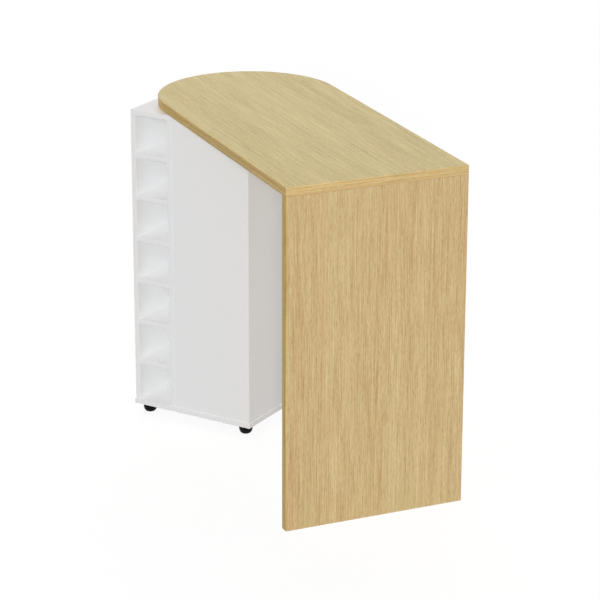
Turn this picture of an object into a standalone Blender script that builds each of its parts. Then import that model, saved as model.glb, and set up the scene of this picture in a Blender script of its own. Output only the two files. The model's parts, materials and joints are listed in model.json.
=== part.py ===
# Bar table with a swivelling top. An oak-decor tabletop and its end panel turn together about
# a bolt on a white storage cabinet, which holds a column of bottle slots and an open shelf bay.
# Metres, +Z up. The origin is on the floor under the middle of the whole plan, +X runs along
# the cabinet's front and +Y into its depth.

import math

import bmesh
import bpy
from mathutils import Matrix, Vector

# Clearances
GAP = 0.0003  # between pieces that touch
FIT = 0.0003  # round a pin, bolt or dowel in its hole
SHELF_PLAY = 0.0006  # at each end of a loose shelf

# Tabletop and end panel
TOP_LENGTH = 1.252  # from the half-round end to the outer face of the end panel
TOP_WIDTH = 0.572
TOP_THICKNESS = 0.028
PANEL_THICKNESS = 0.028
STRIP_THICKNESS = 0.002  # edging strips, counted inside the sizes above
SWIVEL_ANGLE = math.radians(-35.8)  # tabletop to cabinet front, seen from above
ARC_STEPS = 48

# Cabinet
BOARD = 0.016
SLOT_WIDTH = 0.119
SLOT_HEIGHT = 0.1226
SLOT_COUNT = 7
BAY_WIDTH = 0.265
CABINET_DEPTH = 0.492
BOTTOM_OVERHANG = 0.0025
EDGE_ROUND = 0.0008

# Loose shelves in the bay and their pins
BAY_SHELF_COUNT = 2
BAY_SHELF_PITCH = 0.320
BAY_SHELF_SETBACK = 0.012
PIN_RADIUS = 0.0025
PIN_IN = 0.008
PIN_OUT = 0.009
PIN_INSET = 0.037
PIN_HOLE_PITCH = 0.032
PIN_HOLES_EACH_WAY = 1  # spare holes above and below each pin

# Feet
FOOT_RADIUS = 0.022
FOOT_HEIGHT = 0.031
FOOT_ROUND = 0.003
FOOT_INSET = 0.033  # foot centre from the side panels' outer faces
PEG_RADIUS = 0.0045
PEG_LENGTH = 0.011

# Carcass screws and dowels
SCREW_HEAD_RADIUS = 0.005
SCREW_HEAD_HEIGHT = 0.004
SCREW_SHANK_RADIUS = 0.0035
SCREW_CORE_RADIUS = 0.0025
SCREW_BITE = 0.034  # length inside the side panel
SCREW_TIP = 0.002
SCREW_INSET = 0.090  # from the front and back edges of the side panels
DOWEL_RADIUS = 0.004
DOWEL_CHAMFER = 0.0007
CARCASS_DOWEL_UP = 0.010
CARCASS_DOWEL_DOWN = 0.019
CARCASS_DOWEL_INSET = 0.076

# Swivel
BOLT_RADIUS = 0.004
BOLT_HEAD_RADIUS = 0.0075
BOLT_HEAD_HEIGHT = 0.0055
BOLT_FLANGE_RADIUS = 0.012
BOLT_FLANGE_HEIGHT = 0.002
BOLT_BITE = 0.015  # length inside the insert
BUSH_RADIUS = 0.0068
BUSH_FLANGE_RADIUS = 0.030
INSERT_RADIUS = 0.007
INSERT_LENGTH = 0.018
GLIDE_COUNT = 3
GLIDE_RADIUS = 0.018
GLIDE_THICKNESS = 0.0035
GLIDE_CIRCLE = 0.115
GLIDE_ROUND = 0.0006

# Fittings between tabletop and end panel
CAM_COUNT = 3
CAM_INSET = 0.086  # outer cams from the end panel's side edges
CAM_RADIUS = 0.0072
CAM_LENGTH = 0.0125
CAM_DROP = 0.034  # cam axis under the top of the end panel
CAM_BOLT_DEPTH = 0.0095  # bolt axis from the panel's inner face
CAM_BOLT_BITE = 0.011
CAM_BOLT_THREAD_RADIUS = 0.003
CAM_BOLT_COLLAR_RADIUS = 0.0038
CAM_BOLT_COLLAR_HEIGHT = 0.003
CAM_BOLT_NECK_RADIUS = 0.0022
CAM_BOLT_NECK_LENGTH = 0.006
CAM_BOLT_HEAD_RADIUS = 0.0034
CAM_BOLT_HEAD_HEIGHT = 0.004
PANEL_DOWEL_UP = 0.013
PANEL_DOWEL_DOWN = 0.019

# Modelling values
FOOT_SIDES = 24
BUSH_SIDES = 20
ROD_SIDES = 12
HOLE_SIDES = 14
ROUND_STEPS = 3
OVERCUT = 0.002  # how far a cutter stands out of the face it enters
WELD = 0.00001

# Finishes: colour, roughness, metallic
FINISHES = {
    "oak": ((0.60, 0.49, 0.27), 0.45, 0.0),
    "white": ((0.80, 0.80, 0.80), 0.40, 0.0),
    "black plastic": ((0.012, 0.012, 0.013), 0.35, 0.0),
    "nylon": ((0.72, 0.71, 0.66), 0.45, 0.0),
    "beech": ((0.62, 0.44, 0.26), 0.60, 0.0),
    "zinc": ((0.62, 0.62, 0.60), 0.35, 1.0),
}

# Plan, measured from the swivel axis
ARC_RADIUS = TOP_WIDTH / 2
TOP_REACH = TOP_LENGTH - ARC_RADIUS  # swivel axis to the outer face of the end panel
PANEL_INNER = TOP_REACH - PANEL_THICKNESS
RACK_LEFT = -(BAY_WIDTH / 2 + SLOT_WIDTH + 2 * BOARD)
PARTITION_LEFT = RACK_LEFT + BOARD + SLOT_WIDTH
RIGHT_LEFT = PARTITION_LEFT + BOARD + BAY_WIDTH
CABINET_RIGHT = RIGHT_LEFT + BOARD
FRONT = -CABINET_DEPTH / 2
BACK = CABINET_DEPTH / 2
UPRIGHTS = (RACK_LEFT, PARTITION_LEFT, RIGHT_LEFT)
SCREW_SPREAD = BACK - SCREW_INSET  # from the middle of the depth
CARCASS_DOWEL_SPREAD = BACK - CARCASS_DOWEL_INSET

# Levels, from the floor up
BOTTOM_Z = FOOT_HEIGHT + GAP
SIDE_Z = BOTTOM_Z + BOARD + GAP
SIDE_HEIGHT = SLOT_COUNT * SLOT_HEIGHT + (SLOT_COUNT - 1) * BOARD
CABINET_TOP_Z = SIDE_Z + SIDE_HEIGHT + GAP
GLIDE_Z = CABINET_TOP_Z + BOARD + GAP
TOP_Z = GLIDE_Z + GLIDE_THICKNESS + GAP
PANEL_HEIGHT = TOP_Z - GAP

UP = Vector((0, 0, 1))
DOWN = Vector((0, 0, -1))
RIGHT = Vector((1, 0, 0))
LEFT = Vector((-1, 0, 0))


def half_round(radius, end):
    """Plan points of the top's outline: one long side, the half-round end, the other side."""
    angles = [math.pi * (0.5 + step / ARC_STEPS) for step in range(ARC_STEPS + 1)]
    arc = [(radius * math.cos(angle), radius * math.sin(angle)) for angle in angles]
    return [(end, radius), *arc, (end, -radius)]


def plan_centre():
    """Middle of the whole plan, from the swivel axis."""
    turn = Matrix.Rotation(SWIVEL_ANGLE, 2)
    points = [turn @ Vector(point) for point in half_round(ARC_RADIUS, TOP_REACH)]
    for x in (RACK_LEFT - BOTTOM_OVERHANG, CABINET_RIGHT + BOTTOM_OVERHANG):
        for y in (FRONT - BOTTOM_OVERHANG, BACK + BOTTOM_OVERHANG):
            points.append(Vector((x, y)))
    xs = [point.x for point in points]
    ys = [point.y for point in points]
    return Vector(((min(xs) + max(xs)) / 2, (min(ys) + max(ys)) / 2, 0))


def clear_scene():
    for obj in list(bpy.data.objects):
        bpy.data.objects.remove(obj, do_unlink=True)


def new_collection(name):
    collection = bpy.data.collections.new(name)
    bpy.context.scene.collection.children.link(collection)
    return collection


def new_empty(name, angle):
    empty = bpy.data.objects.new(name, None)
    parts.objects.link(empty)
    empty.location = -plan_centre()
    empty.rotation_euler.z = angle
    return empty


def new_part(name, mesh, parent, finish):
    obj = bpy.data.objects.new(name, mesh)
    parts.objects.link(obj)
    obj.parent = parent
    colour, roughness, metallic = FINISHES[finish]
    material = bpy.data.materials.new(f"{name} {finish}")
    material.use_nodes = True
    shader = material.node_tree.nodes["Principled BSDF"]
    shader.inputs["Base Color"].default_value = (*colour, 1.0)
    shader.inputs["Roughness"].default_value = roughness
    shader.inputs["Metallic"].default_value = metallic
    material.diffuse_color = (*colour, 1.0)
    mesh.materials.append(material)
    return obj


def mesh_from(bm, name):
    mesh = bpy.data.meshes.new(name)
    bm.to_mesh(mesh)
    bm.free()
    return mesh


def round_edges(obj, width):
    bevel = obj.modifiers.new("rounded edges", "BEVEL")
    bevel.width = width
    bevel.segments = 1
    bevel.limit_method = "ANGLE"
    bevel.angle_limit = math.radians(40)


def board(name, low, high, parent, finish):
    """A rectangular board between two corners."""
    low, high = Vector(low), Vector(high)
    bm = bmesh.new()
    bmesh.ops.create_cube(bm, size=1.0)
    bmesh.ops.scale(bm, vec=high - low, verts=bm.verts)
    obj = new_part(name, mesh_from(bm, name), parent, finish)
    obj.location = (low + high) / 2
    round_edges(obj, EDGE_ROUND)
    return obj


def plate(name, outline, level, thickness, parent, finish):
    """A flat plate with the given plan outline, standing on a level."""
    curve = bpy.data.curves.new(f"{name} outline", "CURVE")
    curve.dimensions = "2D"
    curve.fill_mode = "BOTH"
    curve.extrude = thickness / 2
    spline = curve.splines.new("POLY")
    spline.points.add(len(outline) - 1)
    for point, (x, y) in zip(spline.points, outline):
        point.co = (x, y, 0, 1)
    spline.use_cyclic_u = True
    flat = bpy.data.objects.new(f"{name} outline", curve)
    parts.objects.link(flat)
    graph = bpy.context.evaluated_depsgraph_get()
    bm = bmesh.new()
    bm.from_mesh(bpy.data.meshes.new_from_object(flat.evaluated_get(graph)))
    bpy.data.objects.remove(flat, do_unlink=True)
    bmesh.ops.remove_doubles(bm, verts=bm.verts, dist=WELD)
    bmesh.ops.recalc_face_normals(bm, faces=bm.faces)
    obj = new_part(name, mesh_from(bm, name), parent, finish)
    obj.location.z = level + thickness / 2
    return obj


def rod(name, start, direction, length, radius, parent, finish, chamfer):
    """A round rod or disc from a start point along a direction."""
    bm = bmesh.new()
    bmesh.ops.create_cone(
        bm,
        cap_ends=True,
        segments=ROD_SIDES,
        radius1=radius,
        radius2=radius,
        depth=length,
    )
    mesh = mesh_from(bm, name)
    mesh.shade_smooth()
    mesh.set_sharp_from_angle(angle=math.radians(40))
    obj = new_part(name, mesh, parent, finish)
    obj.location = Vector(start) + direction * length / 2
    obj.rotation_euler = direction.to_track_quat("Z", "Y").to_euler()
    round_edges(obj, chamfer)
    return obj


def turned(name, profile, place, parent, finish, sides, ring=False):
    """A turned piece: radius and height pairs, from the top down the outer side."""
    bm = bmesh.new()
    points = [bm.verts.new((radius, 0, height)) for radius, height in profile]
    for upper, lower in zip(points, points[1:]):
        bm.edges.new((upper, lower))
    if ring:
        bm.edges.new((points[-1], points[0]))
    obj = new_part(name, mesh_from(bm, name), parent, finish)
    obj.location = place
    screw = obj.modifiers.new("turning", "SCREW")
    screw.steps = sides
    screw.render_steps = sides
    screw.use_merge_vertices = True
    screw.merge_threshold = WELD
    screw.use_smooth_shade = True
    return obj


def drill(target, label, holes):
    """Cuts straight or tapered holes: start on the face, direction inwards, depth, end radii."""
    bm = bmesh.new()
    for start, direction, depth, mouth_radius, end_radius in holes:
        middle = Vector(start) + direction * (depth - OVERCUT) / 2
        turn = direction.to_track_quat("Z", "Y").to_matrix().to_4x4()
        bmesh.ops.create_cone(
            bm,
            cap_ends=True,
            segments=HOLE_SIDES,
            radius1=mouth_radius,
            radius2=end_radius,
            depth=depth + OVERCUT,
            matrix=Matrix.Translation(middle) @ turn,
        )
    name = f"{target.name} {label}"
    cutter = bpy.data.objects.new(name, mesh_from(bm, name))
    cutters.objects.link(cutter)
    cutter.parent = target.parent
    cutter.hide_render = True
    cutter.display_type = "WIRE"
    cut = target.modifiers.new(label, "BOOLEAN")
    cut.operation = "DIFFERENCE"
    cut.solver = "EXACT"
    cut.object = cutter


def straight(start, direction, depth, radius):
    return start, direction, depth, radius, radius


def pin_levels():
    """Underside level of each loose shelf in the bay."""
    return [SIDE_Z + BAY_SHELF_PITCH * number for number in range(1, BAY_SHELF_COUNT + 1)]


def pin_depths():
    return (FRONT + BOARD + PIN_INSET, BACK - PIN_INSET)


def pin_axis(level):
    return level - GAP - PIN_RADIUS


def pin_holes(face_x, direction):
    holes = []
    for level in pin_levels():
        for y in pin_depths():
            for step in range(-PIN_HOLES_EACH_WAY, PIN_HOLES_EACH_WAY + 1):
                start = (face_x, y, pin_axis(level) + step * PIN_HOLE_PITCH)
                holes.append(straight(start, direction, PIN_IN + FIT, PIN_RADIUS + FIT))
    return holes


def upright_places(spread):
    """Middle of each upright board's edge, once on each side of the depth's middle."""
    return [(left + BOARD / 2, side * spread) for left in UPRIGHTS for side in (-1, 1)]


def make_uprights():
    names = ("rack_side_panel", "rack_partition", "right_side_panel")
    for name, left in zip(names, UPRIGHTS):
        low = (left, FRONT, SIDE_Z)
        high = (left + BOARD, BACK, SIDE_Z + SIDE_HEIGHT)
        upright = board(name, low, high, cabinet, "white")
        middle = left + BOARD / 2
        holes = []
        for side in (-1, 1):
            foot = (middle, side * SCREW_SPREAD, SIDE_Z)
            holes.append(straight(foot, UP, SCREW_BITE + FIT, SCREW_CORE_RADIUS + FIT))
            head = (middle, side * CARCASS_DOWEL_SPREAD, SIDE_Z + SIDE_HEIGHT)
            holes.append(straight(head, DOWN, CARCASS_DOWEL_DOWN + FIT, DOWEL_RADIUS + FIT))
        if name == "rack_partition":
            holes += pin_holes(left + BOARD, LEFT)
        if name == "right_side_panel":
            holes += pin_holes(left, RIGHT)
        drill(upright, "fixing holes", holes)


def make_cabinet_ends():
    """Bottom and top boards, with the holes for what is fixed in them."""
    low = (RACK_LEFT - BOTTOM_OVERHANG, FRONT - BOTTOM_OVERHANG, BOTTOM_Z)
    high = (CABINET_RIGHT + BOTTOM_OVERHANG, BACK + BOTTOM_OVERHANG, BOTTOM_Z + BOARD)
    bottom = board("cabinet_bottom", low, high, cabinet, "white")
    holes = []
    sinks = []
    for x, y in upright_places(SCREW_SPREAD):
        start = (x, y, BOTTOM_Z)
        holes.append(straight(start, UP, BOARD + OVERCUT, SCREW_SHANK_RADIUS + FIT))
        mouth = SCREW_HEAD_RADIUS + FIT
        sinks.append(straight(start, UP, SCREW_HEAD_HEIGHT + FIT, mouth))
    for x, y in foot_places():
        start = (x, y, BOTTOM_Z)
        holes.append(straight(start, UP, PEG_LENGTH + FIT, PEG_RADIUS + FIT))
    drill(bottom, "through holes", holes)
    drill(bottom, "screw head sinks", sinks)

    low = (RACK_LEFT, FRONT, CABINET_TOP_Z)
    high = (CABINET_RIGHT, BACK, CABINET_TOP_Z + BOARD)
    top = board("cabinet_top", low, high, cabinet, "white")
    holes = [straight((0, 0, CABINET_TOP_Z), UP, BOARD + OVERCUT, BUSH_RADIUS + FIT)]
    for x, y in upright_places(CARCASS_DOWEL_SPREAD):
        start = (x, y, CABINET_TOP_Z)
        holes.append(straight(start, UP, CARCASS_DOWEL_UP + FIT, DOWEL_RADIUS + FIT))
    drill(top, "fixing holes", holes)


def make_rack():
    """Bottle shelves between the rack's two uprights, and the panel behind them."""
    left = RACK_LEFT + BOARD + GAP
    right = PARTITION_LEFT - GAP
    for number in range(1, SLOT_COUNT):
        level = SIDE_Z + number * SLOT_HEIGHT + (number - 1) * BOARD
        low = (left, FRONT, level)
        high = (right, BACK - BOARD - GAP, level + BOARD)
        board(f"bottle_shelf_{number}", low, high, cabinet, "white")
    low = (left, BACK - BOARD, SIDE_Z)
    high = (right, BACK, SIDE_Z + SIDE_HEIGHT)
    board("rack_back_panel", low, high, cabinet, "white")


def make_bay():
    """Plain front panel, and the loose shelves behind it on their pins."""
    left = PARTITION_LEFT + BOARD
    low = (left + GAP, FRONT, SIDE_Z)
    high = (RIGHT_LEFT - GAP, FRONT + BOARD, SIDE_Z + SIDE_HEIGHT)
    board("front_panel", low, high, cabinet, "white")
    pin = 0
    for number, level in enumerate(pin_levels(), 1):
        low = (left + SHELF_PLAY, FRONT + BOARD + GAP, level)
        high = (RIGHT_LEFT - SHELF_PLAY, BACK - BAY_SHELF_SETBACK, level + BOARD)
        board(f"bay_shelf_{number}", low, high, cabinet, "white")
        for y in pin_depths():
            for face_x, direction in ((left, RIGHT), (RIGHT_LEFT, LEFT)):
                pin += 1
                start = Vector((face_x, y, pin_axis(level))) - direction * PIN_IN
                length = PIN_IN + PIN_OUT
                place = (f"shelf_pin_{pin}", start, direction, length, PIN_RADIUS)
                rod(*place, cabinet, "zinc", DOWEL_CHAMFER)


def foot_places():
    xs = (RACK_LEFT + FOOT_INSET, CABINET_RIGHT - FOOT_INSET)
    ys = (FRONT + FOOT_INSET, BACK - FOOT_INSET)
    return [(x, y) for y in ys for x in xs]


def make_feet():
    """Round feet, each with a moulded peg pressed into the bottom board."""
    corner = FOOT_RADIUS - FOOT_ROUND
    rounding = []
    for step in range(ROUND_STEPS + 1):
        angle = math.pi / 2 * step / ROUND_STEPS
        radius = corner + FOOT_ROUND * math.cos(angle)
        rounding.append((radius, FOOT_ROUND * (1 - math.sin(angle))))
    peg = [(0, BOTTOM_Z + PEG_LENGTH), (PEG_RADIUS, BOTTOM_Z + PEG_LENGTH)]
    shoulder = [(PEG_RADIUS, FOOT_HEIGHT), (FOOT_RADIUS, FOOT_HEIGHT)]
    profile = [*peg, *shoulder, *rounding, (0, 0)]
    for number, (x, y) in enumerate(foot_places(), 1):
        turned(f"foot_{number}", profile, (x, y, 0), cabinet, "black plastic", FOOT_SIDES)


def make_carcass_fixings():
    tip = BOTTOM_Z + BOARD + GAP + SCREW_BITE
    neck = BOTTOM_Z + BOARD
    profile = [
        (0, tip),
        (SCREW_CORE_RADIUS - SCREW_TIP / 2, tip),
        (SCREW_CORE_RADIUS, tip - SCREW_TIP),
        (SCREW_CORE_RADIUS, neck),
        (SCREW_SHANK_RADIUS, neck),
        (SCREW_SHANK_RADIUS, BOTTOM_Z + SCREW_HEAD_HEIGHT),
        (SCREW_HEAD_RADIUS, BOTTOM_Z + SCREW_HEAD_HEIGHT),
        (SCREW_HEAD_RADIUS, BOTTOM_Z),
        (0, BOTTOM_Z),
    ]
    for number, (x, y) in enumerate(upright_places(SCREW_SPREAD), 1):
        turned(f"carcass_screw_{number}", profile, (x, y, 0), cabinet, "zinc", ROD_SIDES)
    length = CARCASS_DOWEL_DOWN + GAP + CARCASS_DOWEL_UP
    for number, (x, y) in enumerate(upright_places(CARCASS_DOWEL_SPREAD), 1):
        start = (x, y, SIDE_Z + SIDE_HEIGHT - CARCASS_DOWEL_DOWN)
        place = (f"carcass_dowel_{number}", start, UP, length, DOWEL_RADIUS)
        rod(*place, cabinet, "beech", DOWEL_CHAMFER)


def make_swivel():
    """Bush and glide pads on the cabinet, bolt and insert that turn with the tabletop."""
    bore = BOLT_RADIUS + FIT
    profile = [
        (bore, GLIDE_Z + GLIDE_THICKNESS),
        (BUSH_FLANGE_RADIUS, GLIDE_Z + GLIDE_THICKNESS),
        (BUSH_FLANGE_RADIUS, GLIDE_Z),
        (BUSH_RADIUS, GLIDE_Z),
        (BUSH_RADIUS, CABINET_TOP_Z),
        (bore, CABINET_TOP_Z),
    ]
    turned("swivel_bush", profile, (0, 0, 0), cabinet, "nylon", BUSH_SIDES, ring=True)
    for number in range(1, GLIDE_COUNT + 1):
        angle = math.pi / 2 + 2 * math.pi * number / GLIDE_COUNT
        start = (GLIDE_CIRCLE * math.cos(angle), GLIDE_CIRCLE * math.sin(angle), GLIDE_Z)
        place = (f"glide_pad_{number}", start, UP, GLIDE_THICKNESS, GLIDE_RADIUS)
        rod(*place, cabinet, "nylon", GLIDE_ROUND)

    seat = CABINET_TOP_Z - GAP
    flange = seat - BOLT_FLANGE_HEIGHT
    profile = [
        (0, TOP_Z + BOLT_BITE),
        (BOLT_RADIUS, TOP_Z + BOLT_BITE),
        (BOLT_RADIUS, seat),
        (BOLT_FLANGE_RADIUS, seat),
        (BOLT_FLANGE_RADIUS, flange),
        (BOLT_HEAD_RADIUS, flange),
        (BOLT_HEAD_RADIUS, flange - BOLT_HEAD_HEIGHT),
        (0, flange - BOLT_HEAD_HEIGHT),
    ]
    turned("swivel_bolt", profile, (0, 0, 0), swivel, "zinc", BUSH_SIDES)
    profile = [
        (bore, TOP_Z + INSERT_LENGTH),
        (INSERT_RADIUS, TOP_Z + INSERT_LENGTH),
        (INSERT_RADIUS, TOP_Z),
        (bore, TOP_Z),
    ]
    turned("swivel_insert", profile, (0, 0, 0), swivel, "zinc", BUSH_SIDES, ring=True)


def cam_places():
    first = CAM_INSET - ARC_RADIUS
    pitch = -2 * first / (CAM_COUNT - 1)
    return [first + number * pitch for number in range(CAM_COUNT)]


def panel_dowel_places():
    """Midway between neighbouring cams."""
    places = cam_places()
    return [(here + there) / 2 for here, there in zip(places, places[1:])]


def make_tabletop():
    core_end = TOP_REACH - STRIP_THICKNESS - GAP
    core_radius = ARC_RADIUS - STRIP_THICKNESS - GAP
    outline = half_round(core_radius, core_end)
    top = plate("tabletop", outline, TOP_Z, TOP_THICKNESS, swivel, "oak")
    bolt_x = PANEL_INNER + CAM_BOLT_DEPTH
    holes = [straight((0, 0, TOP_Z), UP, INSERT_LENGTH + FIT, INSERT_RADIUS + FIT)]
    for y in cam_places():
        start = (bolt_x, y, TOP_Z)
        holes.append(straight(start, UP, CAM_BOLT_BITE + FIT, CAM_BOLT_THREAD_RADIUS + FIT))
    for y in panel_dowel_places():
        start = (bolt_x, y, TOP_Z)
        holes.append(straight(start, UP, PANEL_DOWEL_UP + FIT, DOWEL_RADIUS + FIT))
    drill(top, "fixing holes", holes)

    outer = half_round(ARC_RADIUS, core_end)
    inner = half_round(ARC_RADIUS - STRIP_THICKNESS, core_end)
    outline = [*outer, *reversed(inner)]
    strip = plate("top_edge_strip_round", outline, TOP_Z, TOP_THICKNESS, swivel, "oak")
    round_edges(strip, EDGE_ROUND)
    low = (TOP_REACH - STRIP_THICKNESS, -ARC_RADIUS, TOP_Z)
    high = (TOP_REACH, ARC_RADIUS, TOP_Z + TOP_THICKNESS)
    board("top_edge_strip_end", low, high, swivel, "oak")


def make_end_panel():
    core_side = ARC_RADIUS - STRIP_THICKNESS - GAP
    low = (PANEL_INNER, -core_side, 0)
    high = (TOP_REACH, core_side, PANEL_HEIGHT)
    panel = board("end_panel", low, high, swivel, "oak")
    bolt_x = PANEL_INNER + CAM_BOLT_DEPTH
    bolt_holes = []
    cam_holes = []
    for y in cam_places():
        start = (bolt_x, y, PANEL_HEIGHT)
        radius = CAM_BOLT_COLLAR_RADIUS + FIT
        depth = CAM_DROP + CAM_BOLT_HEAD_HEIGHT / 2 + FIT
        bolt_holes.append(straight(start, DOWN, depth, radius))
        start = (PANEL_INNER, y, PANEL_HEIGHT - CAM_DROP)
        cam_holes.append(straight(start, RIGHT, CAM_LENGTH + FIT, CAM_RADIUS + FIT))
    for y in panel_dowel_places():
        start = (bolt_x, y, PANEL_HEIGHT)
        bolt_holes.append(straight(start, DOWN, PANEL_DOWEL_DOWN + FIT, DOWEL_RADIUS + FIT))
    drill(panel, "bolt and dowel holes", bolt_holes)
    drill(panel, "cam holes", cam_holes)
    for name, side in (("panel_edge_strip_left", -1), ("panel_edge_strip_right", 1)):
        faces = sorted((side * ARC_RADIUS, side * (ARC_RADIUS - STRIP_THICKNESS)))
        low = (PANEL_INNER, faces[0], 0)
        high = (TOP_REACH, faces[1], PANEL_HEIGHT)
        board(name, low, high, swivel, "oak")


def make_panel_fittings():
    """Cams in the end panel, the bolts that they draw down, and the dowels between them."""
    bolt_x = PANEL_INNER + CAM_BOLT_DEPTH
    cam_z = PANEL_HEIGHT - CAM_DROP
    head_top = cam_z + CAM_BOLT_HEAD_HEIGHT / 2
    head_end = cam_z - CAM_BOLT_HEAD_HEIGHT / 2
    neck_top = head_top + CAM_BOLT_NECK_LENGTH
    collar_end = PANEL_HEIGHT - CAM_BOLT_COLLAR_HEIGHT
    profile = [
        (0, TOP_Z + CAM_BOLT_BITE),
        (CAM_BOLT_THREAD_RADIUS, TOP_Z + CAM_BOLT_BITE),
        (CAM_BOLT_THREAD_RADIUS, PANEL_HEIGHT),
        (CAM_BOLT_COLLAR_RADIUS, PANEL_HEIGHT),
        (CAM_BOLT_COLLAR_RADIUS, collar_end),
        (CAM_BOLT_THREAD_RADIUS, collar_end),
        (CAM_BOLT_THREAD_RADIUS, neck_top),
        (CAM_BOLT_NECK_RADIUS, neck_top),
        (CAM_BOLT_NECK_RADIUS, head_top),
        (CAM_BOLT_HEAD_RADIUS, head_top),
        (CAM_BOLT_HEAD_RADIUS, head_end),
        (0, head_end),
    ]
    for number, y in enumerate(cam_places(), 1):
        start = (PANEL_INNER, y, cam_z)
        place = (f"cam_{number}", start, RIGHT, CAM_LENGTH, CAM_RADIUS)
        cam = rod(*place, swivel, "zinc", DOWEL_CHAMFER)
        mouth = (bolt_x, y, cam_z + CAM_RADIUS)
        depth = CAM_RADIUS + CAM_BOLT_HEAD_HEIGHT / 2 + FIT
        drill(cam, "bolt pocket", [straight(mouth, DOWN, depth, CAM_BOLT_HEAD_RADIUS + FIT)])
        turned(f"cam_bolt_{number}", profile, (bolt_x, y, 0), swivel, "zinc", ROD_SIDES)
    length = PANEL_DOWEL_DOWN + GAP + PANEL_DOWEL_UP
    for number, y in enumerate(panel_dowel_places(), 1):
        start = (bolt_x, y, PANEL_HEIGHT - PANEL_DOWEL_DOWN)
        place = (f"panel_dowel_{number}", start, UP, length, DOWEL_RADIUS)
        rod(*place, swivel, "beech", DOWEL_CHAMFER)


clear_scene()
parts = new_collection("bar_table")
cutters = new_collection("cutters")
cabinet = new_empty("cabinet_frame", 0)
swivel = new_empty("swivel_axis", SWIVEL_ANGLE)
make_uprights()
make_cabinet_ends()
make_rack()
make_bay()
make_feet()
make_carcass_fixings()
make_swivel()
make_tabletop()
make_end_panel()
make_panel_fittings()
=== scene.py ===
import json
import math

import bmesh
import bpy
from mathutils import Matrix, Vector


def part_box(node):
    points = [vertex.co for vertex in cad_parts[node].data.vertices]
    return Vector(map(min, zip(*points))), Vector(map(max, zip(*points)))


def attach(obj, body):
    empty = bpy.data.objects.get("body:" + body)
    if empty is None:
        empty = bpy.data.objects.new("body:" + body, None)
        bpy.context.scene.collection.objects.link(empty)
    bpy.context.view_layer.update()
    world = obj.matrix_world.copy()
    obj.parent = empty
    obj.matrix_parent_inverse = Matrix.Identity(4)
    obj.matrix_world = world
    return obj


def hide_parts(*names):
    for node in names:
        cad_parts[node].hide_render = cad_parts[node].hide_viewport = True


# Bar table: an oak-decor top and end panel that swivel on a white cabinet with bottle slots.
# Everything is in metres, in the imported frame.

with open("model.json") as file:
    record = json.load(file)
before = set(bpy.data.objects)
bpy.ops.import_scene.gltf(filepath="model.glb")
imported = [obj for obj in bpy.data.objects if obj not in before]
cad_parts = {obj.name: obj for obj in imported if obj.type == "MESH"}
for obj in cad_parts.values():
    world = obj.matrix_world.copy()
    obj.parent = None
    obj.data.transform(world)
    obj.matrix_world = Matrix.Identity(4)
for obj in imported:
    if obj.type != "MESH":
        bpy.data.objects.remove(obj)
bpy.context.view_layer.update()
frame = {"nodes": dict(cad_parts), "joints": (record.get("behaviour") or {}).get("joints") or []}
scene = bpy.context.scene
scene.view_settings.view_transform = "Standard"

xAxis = Vector((1, 0, 0))
yAxis = Vector((0, 1, 0))
zAxis = Vector((0, 0, 1))


# places taken from the frame

pivot = Vector(frame["joints"][0]["pos_m"])


def middleOf(node):
    low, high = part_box(node)
    return (low + high) / 2


endPanelWay = middleOf("end_panel") - pivot
tableAngle = math.atan2(endPanelWay.y, endPanelWay.x)
tablePlace = Matrix.Translation((pivot.x, pivot.y, 0)) @ Matrix.Rotation(tableAngle, 4, "Z")


def tableBox(node):  # corners seen from the swivel axis, with +X running to the end panel
    back = tablePlace.inverted()
    places = [back @ vertex.co for vertex in frame["nodes"][node].data.vertices]
    return Vector(map(min, zip(*places))), Vector(map(max, zip(*places)))


def tableMiddle(node):
    low, high = tableBox(node)
    return (low + high) / 2


def numbered(stem, count):
    return [f"{stem}_{number}" for number in range(1, count + 1)]


def standing(nodes):  # the points that upright pieces stand on
    return [(*middleOf(node).xy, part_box(node)[0].z) for node in nodes]


# node trees, for finishes and for shapes

class Wire:  # one output of a node, so that sums on it read as plain Python
    def __init__(self, nodes, socket):
        self.nodes = nodes
        self.socket = socket

    def __add__(self, other):
        return self.nodes.reckon("ADD", self, other)

    def __radd__(self, other):
        return self.nodes.reckon("ADD", other, self)

    def __sub__(self, other):
        return self.nodes.reckon("SUBTRACT", self, other)

    def __rsub__(self, other):
        return self.nodes.reckon("SUBTRACT", other, self)

    def __mul__(self, other):
        return self.nodes.reckon("MULTIPLY", self, other)

    def __rmul__(self, other):
        return self.nodes.reckon("MULTIPLY", other, self)

    def __truediv__(self, other):
        return self.nodes.reckon("DIVIDE", self, other)


class Nodes:  # adds nodes to one tree, with sockets by name or number and settings as keywords
    def __init__(self, tree):
        self.tree = tree

    def add(self, kind, sockets=None, out=0, **settings):
        node = self.tree.nodes.new(kind)
        for name, value in settings.items():
            setattr(node, name, value)
        for name, value in (sockets or {}).items():
            self.feed(node.inputs[name], value)
        return Wire(self, node.outputs[out])

    def feed(self, socket, value):  # a list goes into a socket that takes several links
        for one in value if isinstance(value, list) else [value]:
            if isinstance(one, Wire):
                self.tree.links.new(one.socket, socket)
            else:
                socket.default_value = one

    def reckon(self, operation, first, second):
        return self.add("ShaderNodeMath", {0: first, 1: second}, operation=operation)

    def mix(self, share, first, second):
        return self.add("ShaderNodeMix", {0: share, 6: first, 7: second}, out=2, data_type="RGBA")


shiftWay = (1.0, 1.7, 0.6)  # the way that a noise is moved by its shift, so that no two lie alike
noiseMiddle = 0.5


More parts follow.
